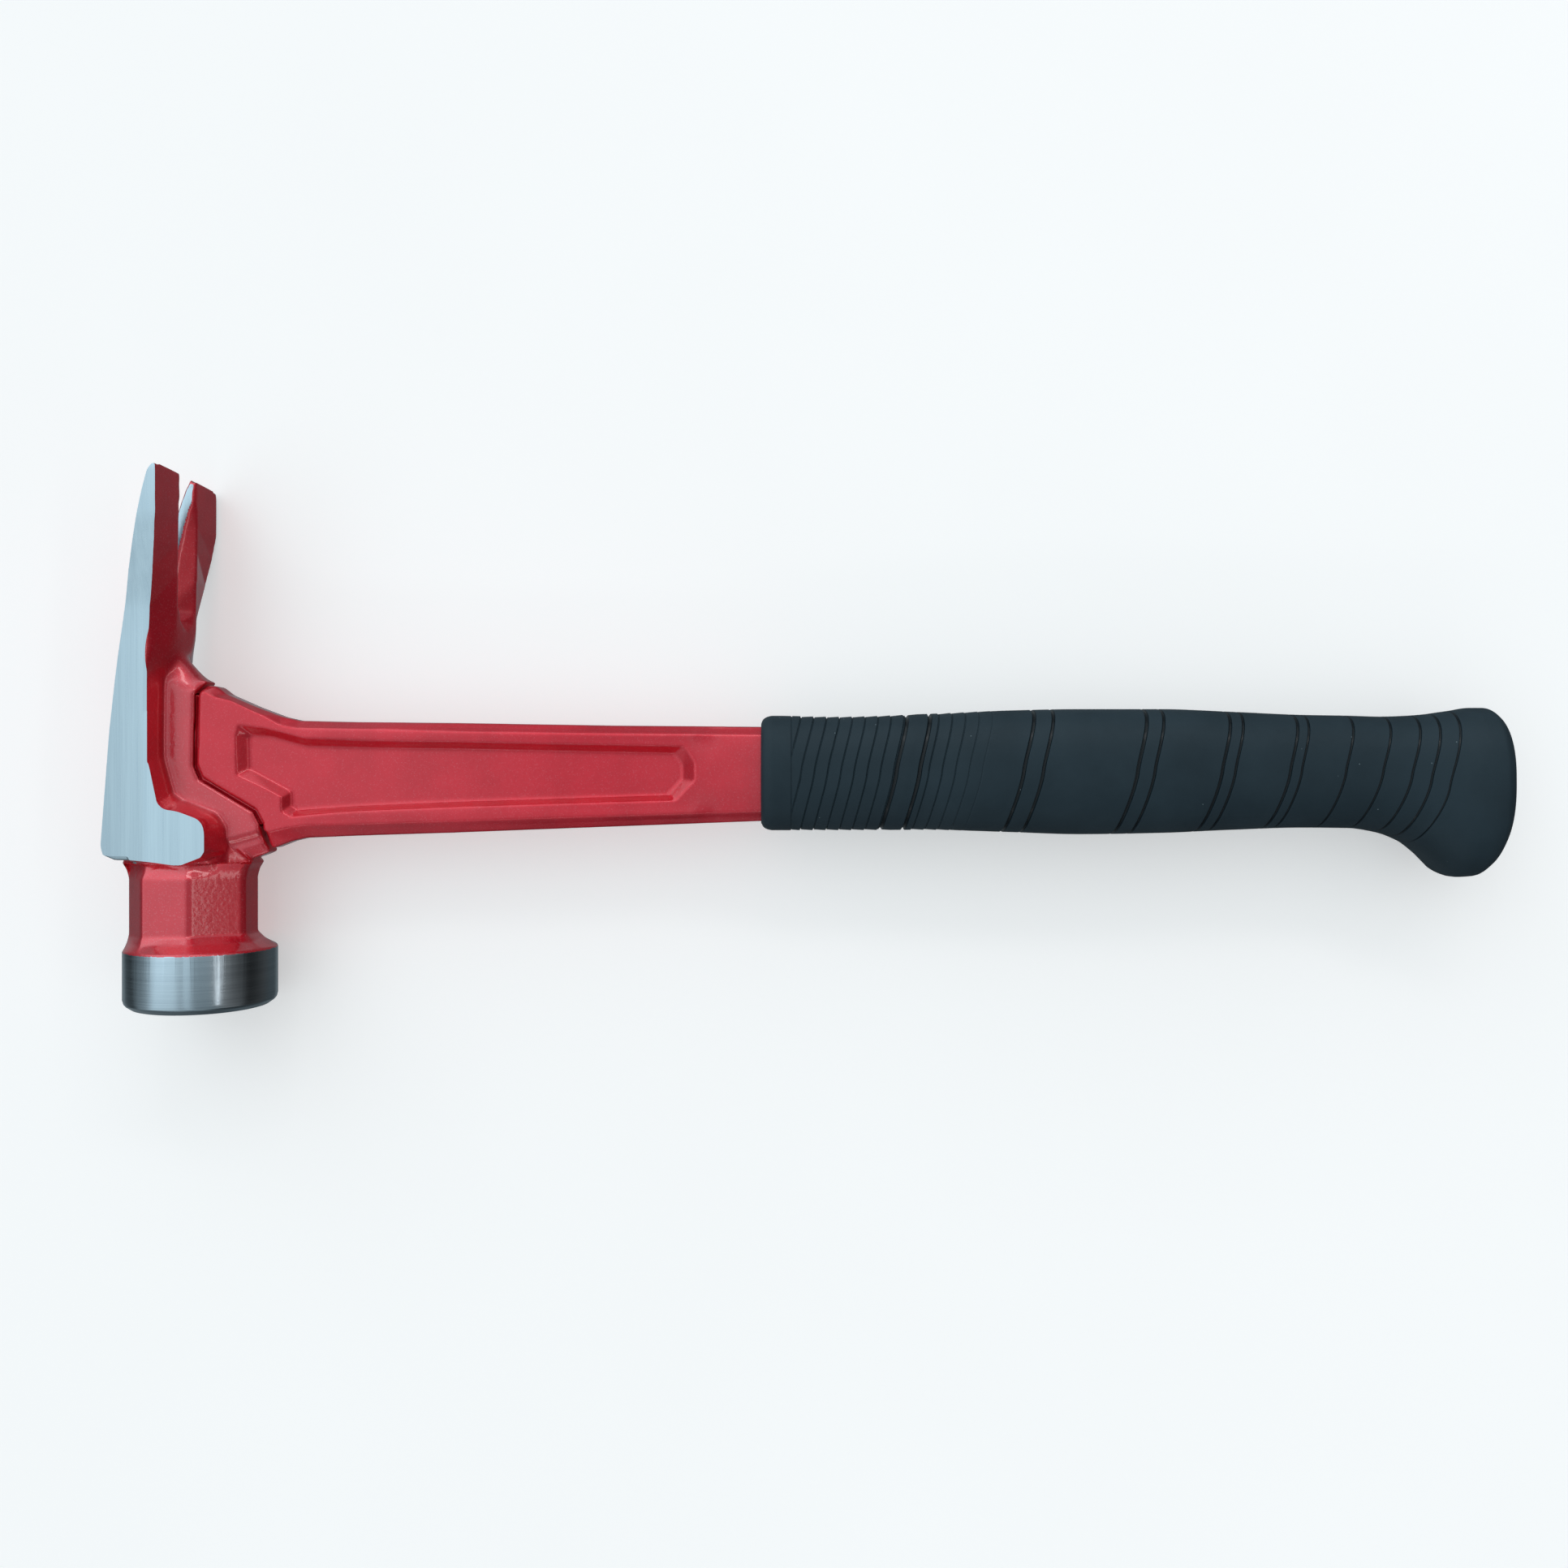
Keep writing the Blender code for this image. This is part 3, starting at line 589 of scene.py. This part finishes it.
def front_lip(first, angles):
    """Rings that run out along the shank through the collar's end face, and across that face."""
    rings = []
    c, s = np.cos(angles), np.sin(angles)
    y = SHANK_MIDDLE + SHANK_HALF_DEPTH * np.sign(c) * np.abs(c) ** 0.5
    w = SHANK_HALF_THICK * np.sign(s) * np.abs(s) ** 0.45
    for depth, tight in ((FRONT_WALL, 1.0), (0.4, 1.0), (0.0, 0.94), (0.0, 0.5), (0.0, 0.1)):
        inner = np.stack([np.full_like(y, FRONT + depth), y, MID + w], -1)
        rings.append(inner * tight + first * (1 - tight))
        rings[-1][:, 0] = FRONT + depth
    return rings


# ---------------------------------------------------------------- materials


def map_range(tree, value, low, high, to_low=0.0, to_high=1.0):
    """A value carried from one range to another, and held at its ends."""
    node = tree.nodes.new("ShaderNodeMapRange")
    tree.links.new(value, node.inputs["Value"])
    for key, number in (("From Min", low), ("From Max", high), ("To Min", to_low), ("To Max", to_high)):
        node.inputs[key].default_value = number
    return node.outputs["Result"]


class Nodes:
    """A small helper for writing a material's nodes."""

    def __init__(self, name):
        self.material = bpy.data.materials.new(name)
        self.material.use_nodes = True
        self.tree = self.material.node_tree
        self.shader = self.tree.nodes["Principled BSDF"]
        self.where = self.add("ShaderNodeTexCoord").outputs["Object"]

    def add(self, kind, **settings):
        node = self.tree.nodes.new(kind)
        for key, value in settings.items():
            setattr(node, key, value)
        return node

    def link(self, source, target):
        self.tree.links.new(source, target)

    def stretched(self, x=1, y=1, z=1):
        """Object coordinates in millimetres, scaled by these."""
        mapping = self.add("ShaderNodeMapping")
        mapping.inputs["Scale"].default_value = (x / MM, y / MM, z / MM)
        self.link(self.where, mapping.inputs["Vector"])
        return mapping.outputs["Vector"]

    def noise(self, vector, scale=1.0, detail=2.0, roughness=0.5):
        node = self.add("ShaderNodeTexNoise")
        node.inputs["Scale"].default_value = scale
        node.inputs["Detail"].default_value = detail
        node.inputs["Roughness"].default_value = roughness
        self.link(vector, node.inputs["Vector"])
        return node.outputs["Fac"]

    def ramp(self, value, *limits):
        return map_range(self.tree, value, *limits)

    def math(self, operation, a, b):
        node = self.add("ShaderNodeMath", operation=operation)
        for socket, value in zip(node.inputs, (a, b)):
            if isinstance(value, (int, float)):
                socket.default_value = value
            else:
                self.link(value, socket)
        return node.outputs[0]

    def colours(self, factor, first, second):
        node = self.add("ShaderNodeMix", data_type="RGBA")
        if isinstance(factor, (int, float)):
            node.inputs[0].default_value = factor
        else:
            self.link(factor, node.inputs[0])
        for socket, value in ((node.inputs[6], first), (node.inputs[7], second)):
            if isinstance(value, tuple):
                socket.default_value = (*value, 1.0)
            else:
                self.link(value, socket)
        return node.outputs[2]

    def bump(self, height, strength, distance, normal=None):
        node = self.add("ShaderNodeBump")
        node.inputs["Strength"].default_value = strength
        node.inputs["Distance"].default_value = distance * MM
        self.link(height, node.inputs["Height"])
        if normal is not None:
            self.link(normal, node.inputs["Normal"])
        return node.outputs["Normal"]

    def put(self, name, value):
        """Set one of the shader's sockets to a number, a colour or another node's output."""
        socket = self.shader.inputs[name]
        if isinstance(value, (int, float)):
            socket.default_value = value
        elif isinstance(value, tuple):
            socket.default_value = (*value, 1.0)
        else:
            self.link(value, socket)


def red_paint(name, haze, sparkle, gloss):
    """A red metallic lacquer: fine flakes under a clear coat with orange peel.

    Haze is the coat's roughness, sparkle how bright the flakes are, and gloss the coat's IOR.
    """
    n = Nodes(name)
    flakes = n.add("ShaderNodeTexVoronoi", feature="F1")
    flakes.inputs["Scale"].default_value = 5.0
    n.link(n.stretched(), flakes.inputs["Vector"])
    glint = n.add("ShaderNodeSeparateColor")
    n.link(flakes.outputs["Color"], glint.inputs["Color"])
    bright = n.ramp(glint.outputs[0], 0.86, 0.97, 0.0, sparkle)
    cloud = n.noise(n.stretched(), 0.09, 3.0, 0.6)
    body = n.colours(n.ramp(cloud, 0.35, 0.65), (0.72, 0.008, 0.028), (0.82, 0.012, 0.036))
    body = n.colours(bright, body, (0.95, 0.3, 0.36))
    peel = n.noise(n.stretched(), 1.1, 2.0, 0.5)
    fine = n.noise(n.stretched(), 5.0, 1.0, 0.5)
    normal = n.bump(peel, 0.2, 0.1)
    rough = n.bump(glint.outputs[1], 0.2, 0.05, normal)
    rough = n.bump(fine, 0.2, 0.03, rough)
    n.put("Base Color", body)
    n.put("Metallic", 0.6)
    n.put("Roughness", n.ramp(cloud, 0.3, 0.7, 0.33, 0.4))
    n.put("Normal", rough)
    n.put("Coat Weight", 1.0)
    n.put("Coat Roughness", haze)
    n.put("Coat IOR", gloss)
    n.link(normal, n.shader.inputs["Coat Normal"])
    return n.material


def steel(name, fine, coarse, dark, light, rough):
    """Bright steel with fine grinding lines and broader bands, each noise given as its scale on x, y, z."""
    n = Nodes(name)
    lines = n.noise(n.stretched(*fine), 1.0, 4.0, 0.65)
    broad = n.noise(n.stretched(*coarse), 1.0, 2.0, 0.5)
    shade_of = n.math("ADD", n.math("MULTIPLY", lines, 0.6), n.math("MULTIPLY", broad, 0.4))
    n.put("Base Color", n.colours(n.ramp(shade_of, 0.38, 0.62), dark, light))
    n.put("Metallic", 1.0)
    n.put("Roughness", n.ramp(lines, 0.3, 0.7, rough - 0.05, rough + 0.05))
    n.put("Normal", n.bump(lines, 0.2, 0.02))
    return n.material


def ground_steel():
    # The grey is the steel's own; its blue cast is painted reflection of the cool sky.
    fine, coarse = (2.4, 0.04, 2.4), (0.5, 0.015, 0.5)
    return steel("ground_steel", fine, coarse, (0.5, 0.61, 0.68), (0.6, 0.72, 0.79), 0.3)


def face_steel():
    fine, coarse = (0.04, 2.4, 2.4), (0.015, 0.5, 0.5)
    return steel("face_steel", fine, coarse, (0.4, 0.42, 0.43), (0.52, 0.54, 0.55), 0.3)


def turned_steel():
    # The grey is the steel's own; its blue cast is painted reflection of the cool sky.
    fine, coarse = (0.03, 3.0, 0.03), (0.02, 0.5, 0.02)
    return steel("turned_steel", fine, coarse, (0.5, 0.59, 0.66), (0.6, 0.7, 0.77), 0.2)


def gilt():
    """The magnet's plating."""
    n = Nodes("gilt_plating")
    cloud = n.noise(n.stretched(), 1.6, 4.0, 0.6)
    n.put("Base Color", n.colours(n.ramp(cloud, 0.35, 0.65), (0.42, 0.28, 0.11), (0.62, 0.45, 0.2)))
    n.put("Metallic", 1.0)
    n.put("Roughness", n.ramp(cloud, 0.3, 0.7, 0.28, 0.45))
    n.put("Normal", n.bump(cloud, 0.2, 0.05))
    return n.material


def rubber():
    """A dull blue-grey elastomer with a faint mould texture, stray specks, and polished groove bottoms
    darkened with painted shade.
    """
    n = Nodes("soft_rubber")
    polish_and_painted_shade = n.add("ShaderNodeAttribute", attribute_name="polish_and_painted_shade").outputs["Fac"]
    cloud = n.noise(n.stretched(), 0.06, 4.0, 0.6)
    grain = n.noise(n.stretched(), 6.0, 2.0, 0.6)
    specks = n.add("ShaderNodeTexVoronoi", feature="F1")
    specks.inputs["Scale"].default_value = 0.22
    n.link(n.stretched(), specks.inputs["Vector"])
    speck = n.ramp(specks.outputs["Distance"], 0.02, 0.034, 1.0, 0.0)
    body = n.colours(n.ramp(cloud, 0.35, 0.65), (0.012, 0.026, 0.036), (0.017, 0.034, 0.046))
    # Painted shade: the groove bottoms are made near black.
    body = n.colours(polish_and_painted_shade, body, (0.006, 0.009, 0.012))
    body = n.colours(speck, body, (0.16, 0.2, 0.22))
    n.put("Base Color", body)
    rough = n.math("SUBTRACT", n.ramp(grain, 0.3, 0.7, 0.5, 0.62), n.math("MULTIPLY", polish_and_painted_shade, 0.3))
    n.put("Roughness", rough)
    n.put("Specular IOR Level", 0.3)
    n.put("Normal", n.bump(grain, 0.18, 0.03))
    return n.material


def hard_plastic():
    """The grip's core."""
    n = Nodes("hard_plastic")
    grain = n.noise(n.stretched(), 3.0, 3.0, 0.6)
    n.put("Base Color", n.colours(grain, (0.02, 0.02, 0.024), (0.035, 0.035, 0.04)))
    n.put("Roughness", n.ramp(grain, 0.3, 0.7, 0.45, 0.6))
    n.put("Normal", n.bump(grain, 0.2, 0.05))
    return n.material


# ---------------------------------------------------------------- the studio

COOL = (0.8, 0.94, 1.0)
NEUTRAL = (1.0, 0.98, 0.97)
WORLD_STOPS = (  # as (place from +X to -X, radiance, tint)
    (0.0, 0.07, NEUTRAL), (0.05, 0.18, NEUTRAL), (0.12, 0.32, NEUTRAL), (0.24, 0.42, COOL),
    (0.4, 0.45, COOL), (0.45, 0.75, COOL), (0.49, 1.15, COOL), (0.53, 0.85, COOL),
    (0.57, 0.62, COOL), (0.64, 1.15, COOL), (0.87, 1.25, COOL), (0.93, 0.5, COOL), (1.0, 0.18, COOL),
)  # fmt: skip
FLOOR_HALF = 30.0  # metres
FLOOR_GAP = 0.0002  # how far the floor lies under the hammer
FLOOR_GLOW = 0.38
BACKDROP = (0.95, 0.95, 0.95, 1.0)
LAMPS = (  # long strips, as (name, place, what it points at, size, power), in metres and watts
    ("strip_over_grip", (0.88, 0.0, 0.95), (-0.1, 0, 0), (1.4, 0.1), 0.75),
    ("strip_over_claw", (0.3, 0.95, 0.85), (0.1, 0, 0), (1.0, 0.14), 1.3),
    ("strip_over_face", (-0.1, -0.95, 0.6), (-0.1, 0, 0), (0.7, 0.08), 0.3),
)
CAMERA_X, CAMERA_Y, CAMERA_ABOVE = -6.1, -10.17, 307.0  # looking straight down, this far over MID
SENSOR, FOCAL_LENGTH = 36.0, 30.63


def make_floor():
    """A pale floor, lit a little by itself, that doesn't show in the hammer's gloss."""
    half = FLOOR_HALF / MM
    corners = [(-half, -half, 0), (half, -half, 0), (half, half, 0), (-half, half, 0)]
    floor = new_object("studio_floor", mesh_of("studio_floor", corners, [(0, 1, 2, 3)]))
    floor.location.z = -FLOOR_GAP
    n = Nodes("pale_floor")
    cloud = n.noise(n.stretched(), 0.01, 2.0, 0.5)
    n.put("Base Color", n.colours(cloud, (0.88, 0.83, 0.81), (0.92, 0.87, 0.85)))
    n.put("Roughness", 0.9)
    n.put("Specular IOR Level", 0.0)
    n.put("Emission Color", (1.0, 1.0, 1.0))
    n.put("Emission Strength", FLOOR_GLOW)
    floor.data.materials.append(n.material)
    floor.visible_glossy = False


def make_sky():
    """Soft light from all round, graded by direction, with a plain white backdrop for the camera."""
    world = bpy.data.worlds.new("studio")
    scene.world = world
    world.use_nodes = True
    tree = world.node_tree
    sky = tree.nodes["Background"]
    where = tree.nodes.new("ShaderNodeTexCoord")
    split = tree.nodes.new("ShaderNodeSeparateXYZ")
    tree.links.new(where.outputs["Generated"], split.inputs[0])
    # Bright and cool on the head's side, dark beyond the grip.
    ramp = tree.nodes.new("ShaderNodeValToRGB")
    elements = ramp.color_ramp.elements
    while len(elements) < len(WORLD_STOPS):
        elements.new(0.5)
    for element, (place, radiance, tint) in zip(elements, WORLD_STOPS):
        element.position = place
        element.color = tuple(radiance * c for c in tint) + (1.0,)
    tree.links.new(map_range(tree, split.outputs["X"], 1.0, -1.0), ramp.inputs["Fac"])
    tree.links.new(ramp.outputs["Color"], sky.inputs["Color"])
    # Darker on the striking face's side and from below.
    level = tree.nodes.new("ShaderNodeMath")
    level.operation = "MULTIPLY"
    tree.links.new(map_range(tree, split.outputs["Y"], -0.9, 0.9, 0.4, 1.3), level.inputs[0])
    tree.links.new(map_range(tree, split.outputs["Z"], -0.12, 0.08, 0.25, 1.0), level.inputs[1])
    tree.links.new(level.outputs[0], sky.inputs["Strength"])
    backdrop = tree.nodes.new("ShaderNodeBackground")
    backdrop.inputs["Color"].default_value = BACKDROP
    path = tree.nodes.new("ShaderNodeLightPath")
    choose = tree.nodes.new("ShaderNodeMixShader")
    tree.links.new(path.outputs["Is Camera Ray"], choose.inputs["Fac"])
    tree.links.new(sky.outputs[0], choose.inputs[1])
    tree.links.new(backdrop.outputs[0], choose.inputs[2])
    tree.links.new(choose.outputs[0], tree.nodes["World Output"].inputs["Surface"])


def make_lamps():
    for name, place, towards, size, power in LAMPS:
        light = bpy.data.lights.new(name, "AREA")
        light.shape = "RECTANGLE"
        light.size, light.size_y = size
        light.energy = power
        obj = new_object(name, light)
        obj.location = place
        obj.rotation_euler = (Vector(towards) - Vector(place)).to_track_quat("-Z", "Y").to_euler()


def make_camera():
    lens = bpy.data.cameras.new("camera")
    lens.sensor_width = SENSOR
    lens.lens = FOCAL_LENGTH
    lens.clip_start = 0.01
    camera = new_object("camera", lens)
    camera.location = (CAMERA_X * MM, CAMERA_Y * MM, (MID + CAMERA_ABOVE) * MM)
    scene.camera = camera


# ---------------------------------------------------------------- putting it together

lacquer = red_paint("red_lacquer", haze=0.05, sparkle=0.12, gloss=1.5)
head_lacquer = red_paint("head_lacquer", haze=0.12, sparkle=0.2, gloss=1.75)
head = make_head(head_lacquer, ground_steel(), turned_steel(), face_steel())
shank = make_shank(lacquer)
weld = make_weld(lacquer)
grip = make_grip(rubber())
for piece, node, slot in (
    (head, "hammer_head", "red_paint"),
    (shank, "handle_shank", "red_paint"),
    (weld, "joint_weld", "ground_steel"),
    (grip, "grip_sleeve", "soft_rubber"),
):
    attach(piece, "root")
    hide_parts(node)
set_materials(nodes["nail_magnet"], gilt())
set_materials(nodes["grip_core"], hard_plastic())
make_floor()
make_sky()
make_lamps()
make_camera()
scene.view_settings.view_transform = "Standard"
